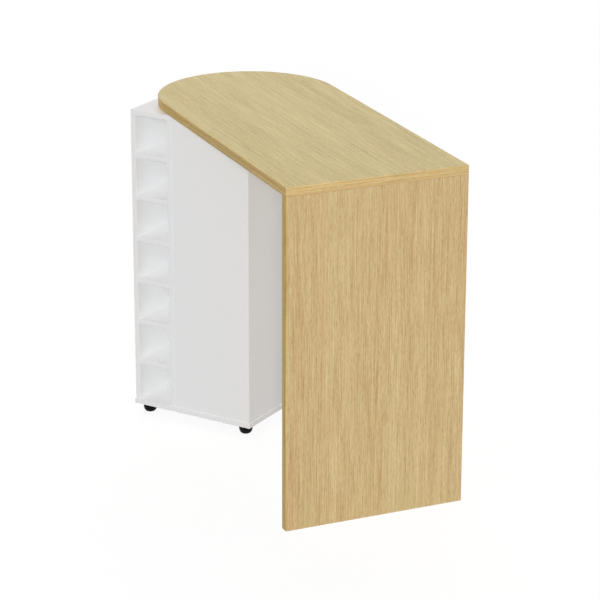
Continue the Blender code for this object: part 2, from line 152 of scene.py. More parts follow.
class Finish(Nodes):  # one material
    def __init__(self, name, **fixed):
        self.material = bpy.data.materials.new(name)
        self.material.use_nodes = True
        super().__init__(self.material.node_tree)
        self.shader = self.tree.nodes["Principled BSDF"]
        self.end(**fixed)

    def end(self, **values):
        for socketName, value in values.items():
            self.feed(self.shader.inputs[socketName.replace("_", " ")], value)
        return self.material

    def noise(self, place, perMetre, detail, shift):  # one number of cells per metre, or one for each axis
        cells = perMetre if isinstance(perMetre, tuple) else (perMetre,) * 3
        moved = tuple(shift * step for step in shiftWay)
        sockets = {"Vector": place, "Location": moved, "Scale": cells}
        stretched = self.add("ShaderNodeMapping", sockets)
        return self.add("ShaderNodeTexNoise", {"Vector": stretched, "Scale": 1.0, "Detail": detail})

    def swing(self, noise, reach):
        return (noise - noiseMiddle) * reach

    def ramp(self, wire, low, high):
        sockets = {"Value": wire, "From Min": low, "From Max": high}
        return self.add("ShaderNodeMapRange", sockets, interpolation_type="SMOOTHSTEP")

    def bump(self, height, depth, strength):
        return self.add("ShaderNodeBump", {"Height": height, "Distance": depth, "Strength": strength})


class Shape(Nodes):  # one geometry tree with named inputs, the plain numbers first
    def __init__(self, name, numbers="", **others):
        tree = bpy.data.node_groups.new(name, "GeometryNodeTree")
        super().__init__(tree)
        sockets = tree.interface
        sockets.new_socket("Geometry", in_out="INPUT", socket_type="NodeSocketGeometry")
        sockets.new_socket("Geometry", in_out="OUTPUT", socket_type="NodeSocketGeometry")
        inputs = dict.fromkeys(numbers.split(), "Float") | others | {"finish": "Material"}
        for inputName, kind in inputs.items():
            sockets.new_socket(inputName, in_out="INPUT", socket_type=f"NodeSocket{kind}")
        self.start = tree.nodes.new("NodeGroupInput")

    def given(self, name):
        return Wire(self, self.start.outputs[name])

    def givenShape(self, name):
        return self.add("GeometryNodeObjectInfo", {"Object": self.given(name)}, out="Geometry")

    def field(self, name, kind):
        return self.add("GeometryNodeInputNamedAttribute", {"Name": name}, data_type=kind)

    def vector(self, x=0.0, y=0.0, z=0.0):
        return self.add("ShaderNodeCombineXYZ", {"X": x, "Y": y, "Z": z})

    def position(self, axis):
        place = self.add("GeometryNodeInputPosition")
        return self.add("ShaderNodeSeparateXYZ", {0: place}, out=axis)

    def moved(self, geometry, by):
        return self.add("GeometryNodeTransform", {"Geometry": geometry, "Translation": by})

    def alongWay(self):  # turns an upright piece to the way that its point carries
        way = self.field("way", "FLOAT_VECTOR")
        return self.add("FunctionNodeAlignRotationToVector", {"Vector": way}, axis="Z")

    def atPoints(self, points, piece, **more):
        return self.add("GeometryNodeInstanceOnPoints", {"Points": points, "Instance": piece, **more})

    def roundedSection(self, width, height, rounding, steps):
        sockets = {"Width": width, "Height": height}
        section = self.add("GeometryNodeCurvePrimitiveQuadrilateral", sockets, mode="RECTANGLE")
        sockets = {"Curve": section, "Count": steps, "Radius": rounding}
        return self.add("GeometryNodeFilletCurve", sockets, mode="POLY")

    def sweep(self, run, section, **more):
        sockets = {"Curve": run, "Profile Curve": section, "Fill Caps": True, **more}
        return self.add("GeometryNodeCurveToMesh", sockets)

    def end(self, wire):
        real = self.add("GeometryNodeRealizeInstances", {"Geometry": wire})
        sockets = {"Geometry": real, "Material": self.given("finish")}
        dressed = self.add("GeometryNodeSetMaterial", sockets)
        self.feed(self.tree.nodes.new("NodeGroupOutput").inputs[0], dressed)
        return self


def newObject(name, mesh):
    made = bpy.data.objects.new(name, mesh)
    scene.collection.objects.link(made)
    return made


def plainMesh(holder):  # what the modifiers make of an object, as a plain mesh
    graph = bpy.context.evaluated_depsgraph_get()
    seen = holder.evaluated_get(graph)
    mesh = bpy.data.meshes.new_from_object(seen, preserve_all_data_layers=True, depsgraph=graph)
    holder.modifiers.clear()
    holder.data = mesh
    return mesh


def grow(holder, shape, **values):  # runs a geometry tree on an object and keeps the mesh
    modifier = holder.modifiers.new("shape", "NODES")
    modifier.node_group = shape.tree
    for item in shape.tree.interface.items_tree:
        if item.name in values:
            modifier[item.identifier] = values[item.name]
    plainMesh(holder)


def pointMesh(name, places, **fields):  # bare points, with vectors or numbers on them
    mesh = bpy.data.meshes.new(name)
    mesh.from_pydata([tuple(place) for place in places], [], [])
    for fieldName, values in fields.items():
        vectors = hasattr(values[0], "__len__")
        field = mesh.attributes.new(fieldName, "FLOAT_VECTOR" if vectors else "FLOAT", "POINT")
        for item, value in zip(field.data, values):
            setattr(item, "vector" if vectors else "value", value)
    return mesh


def drop(*objects):
    for one in objects:
        bpy.data.objects.remove(one, do_unlink=True)


def shapeOf(mesh):
    shape = bmesh.new()
    shape.from_mesh(mesh)
    return shape


meshCare = {"shortest": 0.0000005, "join": 0.000001, "mostSides": 4}
creases = {"board": 12, "turned": 35, "fluted": 50}  # degrees past which an edge stays sharp


def clean(mesh):  # closes up edges of no length and splits many-sided faces into sound triangles
    shape = shapeOf(mesh)
    bmesh.ops.dissolve_degenerate(shape, dist=meshCare["shortest"], edges=shape.edges)
    wide = [face for face in shape.faces if len(face.verts) > meshCare["mostSides"]]
    bmesh.ops.triangulate(shape, faces=wide, ngon_method="BEAUTY")
    shape.to_mesh(mesh)
    shape.free()


def settle(piece, body, nodes, crease, place=None):
    mesh = piece.data
    clean(mesh)
    if place:
        mesh.transform(place)
    mesh.shade_smooth()
    mesh.set_sharp_from_angle(angle=math.radians(crease))
    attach(piece, body)
    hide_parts(*nodes)


# finishes; a noise is given as cells per metre, detail and shift, a relief as depth and strength

oakLook = {
    # light and dark of the grain, shares of hue patches, broad stripes, long and short grain, and shine
    "kinds": {
        "panel": ((0.844, 0.680, 0.368, 1), (0.593, 0.364, 0.148, 1), 0.50, 0.0, 1.0, 1.0, 0.30),
        # the top's tone is the panel's decor with a painted sheen, the light that its face reflects
        "top": ((0.859, 0.714, 0.329, 1), (0.518, 0.390, 0.149, 1), 0.22, 0.0, 1.2, 0.65, 0.30),
        # both edging rows are one strip's colour; the square end's is painted lighter, for the light that
        # falls on it
        "edging": ((0.880, 0.621, 0.199, 1), (0.497, 0.330, 0.091, 1), 0.22, 0.90, 1.0, 0.8, 0.12),
        "end edging painted lighter": ((0.942, 0.687, 0.317, 1), (0.532, 0.366, 0.144, 1), 0.22, 0.90, 1.0, 0.8, 0.12),
    },
    # cells per metre along and across the grain, and the share each layer has in the depth of the tone
    "layers": {
        "boards": (0.35, 7, 0.14),
        "bands": (0.7, 40, 0.22),
        "streaks": (2.0, 150, 0.10),
        "lines": (3.0, 500, 0.88),
        "runs": (8.0, 520, 0.72),
        "strokes": (14.0, 560, 0.44),
        "ticks": (60.0, 620, 0.66),
        "fibres": (70.0, 1500, 0.50),
    },
    "layerDetail": 1.0,
    "layerShifts": (2.3, 3.7),  # of the first layer, and from one layer to the next
    "longGrain": 6.0,  # layers with fewer cells per metre along the grain count as long
    "middleTone": 0.5,
    "stray": ((1.3, 4.0, 1), 2.0, 3.1),
    "strayWidth": 0.012,  # the band in which a line of grain strays sideways
    "stripes": ((0.5, 130, 1), 1.0, 9.4),  # broad lengthwise lines of the edging
    "hue": ((0.7, 26, 1), 2.0, 6.6),
    "tints": {  # colour of a hue patch, and where in the noise it sets in and is full
        "pink": ((0.722, 0.472, 0.234, 1), (0.50, 0.72)),
        "straw": ((0.690, 0.545, 0.260, 1), (0.50, 0.28)),
    },
    "pores": ((38, 1900, 1), 1.0, 4.4),
    "poreRamp": (0.60, 0.70),
    "poreColour": (0.325, 0.208, 0.085, 1),
    "poreShade": 0.55,
    "crowding": 0.34,  # how much closer the pores stand in a dark streak
    "heights": {"pores": 0.55, "lines": 0.25, "strokes": 0.20},
    "relief": (0.00012, 0.5),
    "roughness": 0.40,
    "roughPores": 0.10,
    "roughStrokes": 0.10,
    "roughBands": 0.08,
}


def oakFinish(name, kind):  # straight-grained oak decor; the grain runs along the map's first axis
    look = oakLook
    light, dark, hueShare, stripes, long, short, shine = look["kinds"][kind]
    finish = Finish(name, Specular_IOR_Level=shine)
    flat = finish.add("ShaderNodeUVMap", uv_map="grain")
    stray = finish.swing(finish.noise(flat, *look["stray"]), look["strayWidth"])
    sideways = finish.add("ShaderNodeCombineXYZ", {"Y": stray})
    place = finish.add("ShaderNodeVectorMath", {0: flat, 1: sideways}, operation="ADD")
    depth = look["middleTone"]
    layers = {}
    shift, nextShift = look["layerShifts"]
    for layer, (along, across, share) in look["layers"].items():
        layers[layer] = finish.noise(place, (along, across, 1), look["layerDetail"], shift)
        reach = long if along < look["longGrain"] else short
        depth = depth + finish.swing(layers[layer], share * reach)
        shift += nextShift
    if stripes:
        depth = depth + finish.swing(finish.noise(flat, *look["stripes"]), stripes)
    dashes = finish.noise(place, *look["pores"])
    pores = finish.ramp(dashes + finish.swing(depth, look["crowding"]), *look["poreRamp"])
    wood = finish.mix(finish.ramp(depth, 0.0, 1.0), light, dark)
    hue = finish.noise(place, *look["hue"])
    for tint, patch in look["tints"].values():
        wood = finish.mix(finish.ramp(hue, *patch) * hueShare, wood, tint)
    heights = look["heights"]
    height = heights["pores"] * (1 - pores) + heights["lines"] * (1 - layers["lines"])
    rough = look["roughPores"] * pores + finish.swing(layers["strokes"], look["roughStrokes"])
    return finish.end(
        Base_Color=finish.mix(pores * (look["poreShade"] * short), wood, look["poreColour"]),
        Roughness=look["roughness"] + rough + finish.swing(layers["bands"], look["roughBands"]),
        Normal=finish.bump(height + heights["strokes"] * layers["strokes"], *look["relief"]),
    )


def mottledFinish(name, look):
    # noises, ramped or about their middle, weigh in on the mix of two colours, on roughness and height
    finish = Finish(name, **look["fixed"])
    place = finish.add("ShaderNodeTexCoord", out="Object")
    fields = {}
    for field, cells in look["noises"].items():
        noise = finish.noise(place, *cells)
        ramp = look["ramps"].get(field)
        fields[field] = finish.ramp(noise, *ramp) if ramp else noise - noiseMiddle
    for field, heights in look.get("fades", {}).items():
        height = finish.add("ShaderNodeSeparateXYZ", {0: place}, out="Z")
        fields[field] = fields[field] * (1 - finish.ramp(height, *heights))

    def weighed(start, shares):
        for field, share in shares.items():
            start = start + fields[field] * share
        return start

    return finish.end(
        Base_Color=finish.mix(weighed(look["shade"], look["shades"]), *look["colours"]),
        Roughness=weighed(look["roughness"], look["roughs"]),
        Normal=finish.bump(weighed(0.0, look["heights"]), *look["relief"]),
    )


whiteLook = {  # melamine with a fine pearl and faint handling marks
    "fixed": {"Specular_IOR_Level": 0.5},
    "noises": {
        "clouds": (2.2, 3.0, 1.3),
        "marks": ((9.0, 9.0, 5.0), 4.0, 5.2),
        "grains": (1400, 2.0, 2.8),
        "swell": (130, 1.0, 4.1),
    },
    "ramps": {"marks": (0.50, 0.80)},
    "shade": 0.5,
    "shades": {"clouds": 1.0},
    "roughs": {"clouds": 0.08, "marks": 0.07, "grains": 0.06},
    "heights": {"grains": 0.7, "swell": 0.3},
}
whiteFaceLook = {
    **whiteLook,
    "colours": ((0.920, 0.920, 0.920, 1), (0.905, 0.905, 0.905, 1)),
    "roughness": 0.36,
    "relief": (0.00008, 0.35),
}
whiteEdgeLook = {
    **whiteLook,
    "colours": ((0.926, 0.926, 0.926, 1), (0.911, 0.911, 0.911, 1)),
    "roughness": 0.30,
    "relief": (0.00005, 0.35),
}
plasticLook = {  # moulded and black; scuffs fade out between two heights
    "fixed": {"Specular_IOR_Level": 0.10},
    "noises": {"scuffs": ((90, 90, 160), 4.0, 2.1), "grains": (1900, 2.0, 6.4)},
    "ramps": {"scuffs": (0.52, 0.75)},
    "fades": {"scuffs": (0.001, 0.012)},
    "colours": ((0.003, 0.003, 0.0035, 1), (0.014, 0.014, 0.015, 1)),
    "shade": 0.0,
    "shades": {"scuffs": 0.7},
    "roughness": 0.42,
    "roughs": {"scuffs": 0.25, "grains": 0.10},
    "heights": {"grains": 1.0},
    "relief": (0.00006, 0.4),
}
nylonLook = {
    "fixed": {"Subsurface_Weight": 0.15, "Subsurface_Scale": 0.002},
    "noises": {"clouds": (70, 3.0, 3.3), "rings": (700, 2.0, 1.2)},
    "ramps": {},
    "colours": ((0.740, 0.725, 0.670, 1), (0.660, 0.640, 0.570, 1)),
    "shade": 0.5,
    "shades": {"clouds": 1.0},
    "roughness": 0.42,
    "roughs": {"rings": 0.16},
    "heights": {"rings": 1.0},
    "relief": (0.00005, 0.4),
}
beechLook = {  # bare and turned, the grain upright with short flecks
    "fixed": {},
    "noises": {"grain": ((900, 900, 30), 2.0, 2.7), "flecks": ((1600, 1600, 260), 1.0, 5.9)},
    "ramps": {"flecks": (0.58, 0.70)},
    "colours": ((0.640, 0.455, 0.275, 1), (0.420, 0.255, 0.130, 1)),
    "shade": 0.0,
    "shades": {"flecks": 0.6, "grain": 0.5},
    "roughness": 0.62,
    "roughs": {"grain": 0.2},
    "heights": {"grain": 1.0},
    "relief": (0.00008, 0.5),
}
zincLook = {  # plating with dull patches and fine machining lines
    "fixed": {"Metallic": 1.0},
    "noises": {
        "patches": (260, 4.0, 1.1),
        "dullness": (260, 4.0, 1.1),
        "lathe": ((300, 300, 4200), 1.0, 3.6),
    },
    "ramps": {"dullness": (0.35, 0.75)},
    "colours": ((0.660, 0.665, 0.660, 1), (0.470, 0.470, 0.455, 1)),
    "shade": 0.0,
    "shades": {"dullness": 1.0},
    "roughness": 0.32,
    "roughs": {"patches": 0.25, "lathe": 0.10},
    "heights": {"lathe": 1.0},
    "relief": (0.00004, 0.4),
}

oakPanel = oakFinish("oak decor of the end panel", "panel")
# the top's finish carries a painted sheen in its tone
oakTopWithPaintedSheen = oakFinish("oak decor of the top", "top")
oakEdge = oakFinish("oak edging", "edging")
# the square end's edging is painted lighter, for the light that falls on it
oakEndPaintedLighter = oakFinish("oak edging of the square end", "end edging painted lighter")
whiteFace = mottledFinish("white melamine", whiteFaceLook)
whiteEdge = mottledFinish("white edging", whiteEdgeLook)
fittingFinish = {
    "black_plastic": mottledFinish("black moulded plastic", plasticLook),
    "nylon": mottledFinish("natural nylon", nylonLook),
    "beech": mottledFinish("turned beech", beechLook),
    "zinc": mottledFinish("zinc plate", zincLook),
}
print("finishes made:", len(bpy.data.materials))


# shapes that the pieces share

def ease(shape, edges, easing, steps):
    bmesh.ops.bevel(
        shape, geom=edges, offset=easing, segments=steps, profile=0.5, affect="EDGES", clamp_overlap=True
    )


def boxShape(low, high, easing, steps, outward=None):
    # a box with eased edges, only those round the outward face where one is given
    shape = bmesh.new()
    bmesh.ops.create_cube(shape, size=1.0)
    bmesh.ops.scale(shape, vec=high - low, verts=shape.verts)
    edges = list(shape.edges)
    if outward:
        edges = [edge for edge in edges if all(vert.co.dot(outward) > 0 for vert in edge.verts)]
    ease(shape, edges, easing, steps)
    bmesh.ops.translate(shape, vec=(low + high) / 2, verts=shape.verts)
    return shape


hexSides = 6


def prismShape(sides, radius, low, high):
    shape = bmesh.new()
    bmesh.ops.create_cone(
        shape, cap_ends=True, segments=sides, radius1=radius, radius2=radius, depth=high - low
    )
    bmesh.ops.translate(shape, vec=(0, 0, (low + high) / 2), verts=shape.verts)
    return shape


def meshOf(name, *shapes):
    whole = bmesh.new()
    for shape in shapes:
        part = bpy.data.meshes.new(name)
        shape.to_mesh(part)
        shape.free()
        whole.from_mesh(part)
        bpy.data.meshes.remove(part)
    mesh = bpy.data.meshes.new(name)
    whole.to_mesh(mesh)
    whole.free()
    return mesh


def cut(mesh, shape):  # takes a closed shape out of a closed mesh
    blank = newObject("blank", mesh)
    cutter = newObject("cutter", meshOf("cutter", shape))
    boolean = blank.modifiers.new("recess", "BOOLEAN")
    boolean.operation = "DIFFERENCE"
    boolean.solver = "EXACT"
    boolean.object = cutter
    result = plainMesh(blank)
    drop(blank, cutter)
    return result


def turnedMesh(name, profile, sides):  # pairs of radius and height, spun round the upright axis
    shape = bmesh.new()
    verts = [shape.verts.new((radius, 0, height)) for radius, height in profile]
    edges = [shape.edges.new(pair) for pair in zip(verts, verts[1:])]
    bmesh.ops.spin(
        shape, geom=verts + edges, axis=zAxis, cent=(0, 0, 0), angle=math.tau, steps=sides, use_merge=True
    )
    bmesh.ops.remove_doubles(shape, verts=shape.verts, dist=meshCare["join"])
    bmesh.ops.recalc_face_normals(shape, faces=shape.faces)
    return meshOf(name, shape)


# corners of a turned profile, which runs down the outer side

roundShare = 0.3  # how far the middle of a round corner stands in from the square one
boltEnd = (0.0006, 0.0008)  # chamfer of a bolt's end, inwards and down


def topEdge(radius, height, inward, down=None):
    return [(radius - inward, height), (radius, height - (down or inward))]


def roundTop(radius, height, turn):
    inset = turn * roundShare
    return [(radius - turn, height), (radius - inset, height - inset), (radius, height - turn)]


def footEdge(radius, height, easing):
    return [(radius, height + easing), (radius - easing, height)]


decorMap = {"farFace": -0.5, "farJump": 0.83, "slant": 0.7}


def mapGrain(mesh, along, across, through, start):  # decor map in metres; the far face shows another part
    grain = mesh.uv_layers.new(name="grain")
    for face in mesh.polygons:
        jump = decorMap["farJump"] if face.normal.dot(through) < decorMap["farFace"] else 0.0
        for corner in face.loop_indices:
            place = mesh.vertices[mesh.loops[corner].vertex_index].co
            grain.data[corner].uv = (
                place.dot(along) + start + jump,
                place.dot(across) + place.dot(through) + start * decorMap["slant"] + jump,
            )


drillLook = {"sides": 24, "overcut": 0.001}


def drillTree():  # round holes at points that carry a way in, a radius and a depth
    shape = Shape("drilled holes", holes="Object", sides="Int")
    sockets = {"Vertices": shape.given("sides"), "Radius": 1.0, "Depth": 1.0}
    drill = shape.moved(shape.add("GeometryNodeMeshCylinder", sockets), (0, 0, 0.5))
    width = shape.field("radius", "FLOAT")
    size = shape.vector(width, width, shape.field("depth", "FLOAT"))
    drills = shape.atPoints(shape.givenShape("holes"), drill, Rotation=shape.alongWay(), Scale=size)
    drills = shape.add("GeometryNodeRealizeInstances", {"Geometry": drills})
    sockets = {"Mesh 1": shape.given("Geometry"), "Mesh 2": drills, "Self Intersection": True}
    return shape.end(shape.add("GeometryNodeMeshBoolean", sockets, operation="DIFFERENCE", solver="EXACT"))


drilledHoles = drillTree()


def drilled(board, holes, finish):  # holes: mouth, way in, depth, radius
    lead = drillLook["overcut"]
    mouths, ways, depths, radii = zip(*holes)
    points = pointMesh(
        "drill places",
        [Vector(mouth) - way * lead for mouth, way in zip(mouths, ways)],
        way=ways,
        depth=[depth + lead for depth in depths],
        radius=radii,
    )
    drills = newObject("drill places", points)
    grow(board, drilledHoles, holes=drills, sides=drillLook["sides"], finish=finish)
    drop(drills)


trimLook = {"threadSteps": 14, "threadSides": 3, "ribSides": 6}


def threadOn(shape):  # a ridge wound round a body
    length = shape.given("threadLength")
    radius = shape.given("threadRadius")
    sockets = {"Start Radius": radius, "End Radius": radius, "Height": length}
    sockets |= {"Resolution": trimLook["threadSteps"], "Rotations": length / shape.given("threadPitch")}
    helix = shape.add("GeometryNodeCurveSpiral", sockets)
    sockets = {"Resolution": trimLook["threadSides"], "Radius": shape.given("threadDepth")}
    ridge = shape.add("GeometryNodeCurvePrimitiveCircle", sockets)
    return shape.moved(shape.sweep(helix, ridge), shape.vector(z=shape.given("threadStart")))


def ribsOn(shape):  # upright ribs round a body
    sockets = {"Vertices": shape.given("ribCount"), "Radius": shape.given("ribRing")}
    ring = shape.add("GeometryNodeMeshCircle", sockets)
    sockets = {"Vertices": trimLook["ribSides"], "Radius": shape.given("ribRadius")}
    rib = shape.add("GeometryNodeMeshCylinder", {**sockets, "Depth": shape.given("ribLength")})
    return shape.moved(shape.atPoints(ring, rib), shape.vector(z=shape.given("ribLevel")))


def setOutTree(name, trim=None, numbers="", **others):  # a body with its trim, set out at points
    shape = Shape(name, numbers, body="Object", **others)
    parts = [shape.givenShape("body")]
    if trim:
        parts.append(trim(shape))
    whole = shape.add("GeometryNodeJoinGeometry", {"Geometry": parts})
    return shape.end(shape.atPoints(shape.given("Geometry"), whole, Rotation=shape.alongWay()))


threadSizes = "threadStart threadLength threadRadius threadDepth threadPitch"
ribSizes = "ribRing ribRadius ribLength ribLevel"
plainSet = setOutTree("pieces set out")
threadedSet = setOutTree("threaded pieces set out", threadOn, threadSizes)
ribbedSet = setOutTree("ribbed pieces set out", ribsOn, ribSizes, ribCount="Int")


def setOut(name, body, slot, nodes, mesh, places, tree=plainSet, ways=None, place=None, **sizes):
    # one piece of like fittings; they stand upright where no ways are given
    fitting = newObject(name + " body", mesh)
    piece = newObject(name, pointMesh(name, places, way=ways or [zAxis] * len(places)))
    grow(piece, tree, body=fitting, finish=fittingFinish[slot], **sizes)
    drop(fitting)
    settle(piece, body, nodes, creases["turned"], place)


# white cabinet boards with their edging strips

cabinetBoards = {
    "edging": 0.0010,  # thickness of the white edging strip
    "edgingRound": 0.0007,
    "edgingSteps": 3,
    "glueLine": 0.00005,
    "easing": 0.00025,
    "easingSteps": 2,
    "sides": {"left": -xAxis, "right": xAxis, "front": -yAxis, "back": yAxis},
    "edged": {
        "rack_side_panel": ("front", "back"),
        "rack_partition": ("front", "back"),
        "right_side_panel": ("front", "back"),
        "front_panel": (),
        "rack_back_panel": (),
        "cabinet_top": ("left", "right", "front", "back"),
        "cabinet_bottom": ("left", "right", "front", "back"),
        "bay_shelf_1": ("front", "back"),
        "bay_shelf_2": ("front", "back"),
    },
}

cabinetHoles = {
    "pinRadius": 0.0028,
    "pinDepth": 0.0083,
    "pinPitch": 0.032,
    "pinReach": 0.02,  # a pin whose middle is nearer to a face than this stands in it
    "screwCore": 0.0028,
    "screwShank": 0.0038,
    "screwHead": 0.0053,
    "screwHeadDepth": 0.0043,
    "dowel": 0.0043,
    "peg": 0.0048,
    "bush": 0.0071,
    "play": 0.0003,
}


def pinHoles(faceX, way):  # a hole for each shelf pin, with a spare one above and below
    sizes = cabinetHoles
    holes = []
    for pin in map(middleOf, numbered("shelf_pin", 8)):
        if abs(pin.x - faceX) < sizes["pinReach"]:
            for step in (-1, 0, 1):
                mouth = (faceX, pin.y, pin.z + step * sizes["pinPitch"])
                holes.append((mouth, way, sizes["pinDepth"], sizes["pinRadius"]))
    return holes


def boardHoles(node):
    low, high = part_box(node)
    sizes = cabinetHoles
    play = sizes["play"]
    upright = node.endswith(("panel", "partition"))
    holes = []
    for screw in numbered("carcass_screw", 6):
        x, y = middleOf(screw).xy
        mouth = (x, y, low.z)
        if upright and low.x < x < high.x:
            holes.append((mouth, zAxis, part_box(screw)[1].z - low.z + play, sizes["screwCore"]))
        if node == "cabinet_bottom":
            holes.append((mouth, zAxis, high.z - low.z + play, sizes["screwShank"]))
            holes.append((mouth, zAxis, sizes["screwHeadDepth"], sizes["screwHead"]))
    for dowel in numbered("carcass_dowel", 6):
        dowelLow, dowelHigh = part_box(dowel)
        x, y = middleOf(dowel).xy
        if upright and low.x < x < high.x:
            holes.append(((x, y, high.z), -zAxis, high.z - dowelLow.z + play, sizes["dowel"]))
        if node == "cabinet_top":
            holes.append(((x, y, low.z), zAxis, dowelHigh.z - low.z + play, sizes["dowel"]))
    if node == "cabinet_bottom":
        for foot in numbered("foot", 4):
            mouth = (*middleOf(foot).xy, low.z)
            holes.append((mouth, zAxis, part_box(foot)[1].z - low.z + play, sizes["peg"]))
    if node == "cabinet_top":
        through = high.z - low.z + drillLook["overcut"]
        holes.append(((pivot.x, pivot.y, low.z), zAxis, through, sizes["bush"]))
    if node == "rack_partition":
        holes += pinHoles(high.x, -xAxis)
    if node == "right_side_panel":
        holes += pinHoles(low.x, xAxis)
    return holes


def whiteBoard(node):
    look = cabinetBoards
    low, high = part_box(node)
    strip, glueLine = look["edging"], look["glueLine"]
    coreLow, coreHigh = low.copy(), high.copy()
    bands = []
    for side, outward in look["sides"].items():
        if side not in look["edged"][node]:
            continue
        axis = 0 if outward.x else 1
        bandLow, bandHigh = low.copy(), high.copy()
        if axis == 0:  # the strips across the ends stand between the long ones
            bandLow.y += strip
            bandHigh.y -= strip
        if outward[axis] < 0:
            bandHigh[axis] = low[axis] + strip - glueLine
            coreLow[axis] = low[axis] + strip
        else:
            bandLow[axis] = high[axis] - strip + glueLine
            coreHigh[axis] = high[axis] - strip
        bands.append(boxShape(bandLow, bandHigh, look["edgingRound"], look["edgingSteps"], outward))
    core = boxShape(coreLow, coreHigh, look["easing"], look["easingSteps"])
    piece = newObject(node + ".board", meshOf(node, core))
    holes = boardHoles(node)
    if holes:
        drilled(piece, holes, whiteFace)
    else:
        piece.data.materials.append(whiteFace)
    if bands:
        piece.data.materials.append(whiteEdge)
        strips = meshOf("strips", *bands)
        for face in strips.polygons:
            face.material_index = 1
        whole = shapeOf(piece.data)
        whole.from_mesh(strips)
        whole.to_mesh(piece.data)
        whole.free()
        bpy.data.meshes.remove(strips)
    settle(piece, "cabinet", [node], creases["board"])


for boardNode in cabinetBoards["edged"]:
    whiteBoard(boardNode)
print("cabinet boards made:", len(cabinetBoards["edged"]))


# bottle shelves, one board repeated up the rack

bottleShelves = {"count": 6, "noseRound": 0.0009, "noseSteps": 4}


def bottleShelfTree():
    numbers = "pitch depth width thickness noseRound"
    shape = Shape("bottle shelves", numbers, count="Int", noseSteps="Int", start="Vector")
    depth, thickness = shape.given("depth"), shape.given("thickness")
    section = shape.roundedSection(depth, thickness, shape.given("noseRound"), shape.given("noseSteps"))
    half = shape.given("width") * 0.5
    ends = {"Start": shape.vector(x=0 - half), "End": shape.vector(x=half)}
    shelf = shape.sweep(shape.add("GeometryNodeCurvePrimitiveLine", ends), section)
    sockets = {"Count": shape.given("count"), "Start Location": shape.given("start")}
    sockets["Offset"] = shape.vector(z=shape.given("pitch"))
    return shape.end(shape.atPoints(shape.add("GeometryNodeMeshLine", sockets), shelf))


def makeBottleShelves():
    nodes = numbered("bottle_shelf", bottleShelves["count"])
    low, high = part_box(nodes[0])
    size = high - low
    holder = newObject("bottle_shelves", bpy.data.meshes.new("bottle shelves"))
    grow(
        holder,
        bottleShelfTree(),
        pitch=middleOf(nodes[1]).z - middleOf(nodes[0]).z,
        depth=size.y,
        width=size.x,
        thickness=size.z,
        start=middleOf(nodes[0]),
        finish=whiteFace,
        **bottleShelves,
    )
    settle(holder, "cabinet", nodes, creases["board"])


makeBottleShelves()
print("bottle shelves made:", bottleShelves["count"])


# feet

footLook = {
    "sides": 64,
    "bodyRadius": 0.0212,
    "baseRadius": 0.0219,
    "rim": 0.0008,
    "easing": 0.0006,  # of the peg's end and of the base's upper edge
    "groove": 0.0012,
    "grooveSlope": 0.6,
    "domeHeight": 0.0200,
    "domeSteps": 12,
    "contactRadius": 0.0110,
    "contactWidth": 0.002,
    "hollowSlope": 0.001,
    "hollowDepth": 0.0008,
    "ribCount": 40,
    "ribRadius": 0.0009,
    "ribInset": 0.35,  # of the rib's radius
    "ribGap": 0.003,
}


def makeFeet():
    look = footLook
    nodes = numbered("foot", 4)
    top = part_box("cabinet_bottom")[0].z - cabinetHoles["play"]
    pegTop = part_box(nodes[0])[1].z
    pegRadius = cabinetHoles["peg"] - cabinetHoles["play"]
    body, base, contact = look["bodyRadius"], look["baseRadius"], look["contactRadius"]
    level, groove, easing = look["domeHeight"], look["groove"], look["easing"]
    profile = [(0, pegTop), *topEdge(pegRadius, pegTop, easing), (pegRadius, top)]
    profile += [*topEdge(body, top, look["rim"]), (body, level + groove)]
    profile += [(body - groove, level + groove * look["grooveSlope"]), (body - groove, level)]
    profile.append((base - easing, level))
    for step in range(look["domeSteps"] + 1):  # a dome down to the round patch that stands on the floor
        angle = math.pi / 2 * step / look["domeSteps"]
        outward = contact + (base - contact) * math.cos(angle)
        profile.append((outward, (level - easing) * (1 - math.sin(angle))))
    inner, hollow = contact - look["contactWidth"], look["hollowDepth"]
    profile += [(inner, 0), (inner - look["hollowSlope"], hollow), (0, hollow)]
    setOut(
        "feet",
        "cabinet",
        "black_plastic",
        nodes,
        turnedMesh("foot", profile, look["sides"]),
        [(*middleOf(node).xy, 0) for node in nodes],
        ribbedSet,
        ribRing=body - look["ribRadius"] * look["ribInset"],
        ribLength=top - level - groove - look["ribGap"],
        ribLevel=(top + level + groove) / 2,
        **look,
    )


makeFeet()
print("feet made")


# carcass screws, dowels and shelf pins

screwLook = {
    "sides": 20,
    "tipWidth": 0.5,  # of the core
    "tipRound": 0.0004,
    "tipLength": 0.004,
    "shoulder": 0.001,
    "neck": 0.0005,
    "headSlope": 0.0008,
    "headCurve": (0.55, 0.3),  # where the slope starts and ends, as shares of the head's height
    "headEasing": 0.0003,
    "socket": 0.0023,
    "socketDepth": 0.0026,
    "threadDepth": 0.0006,
    "threadPitch": 0.0032,
}


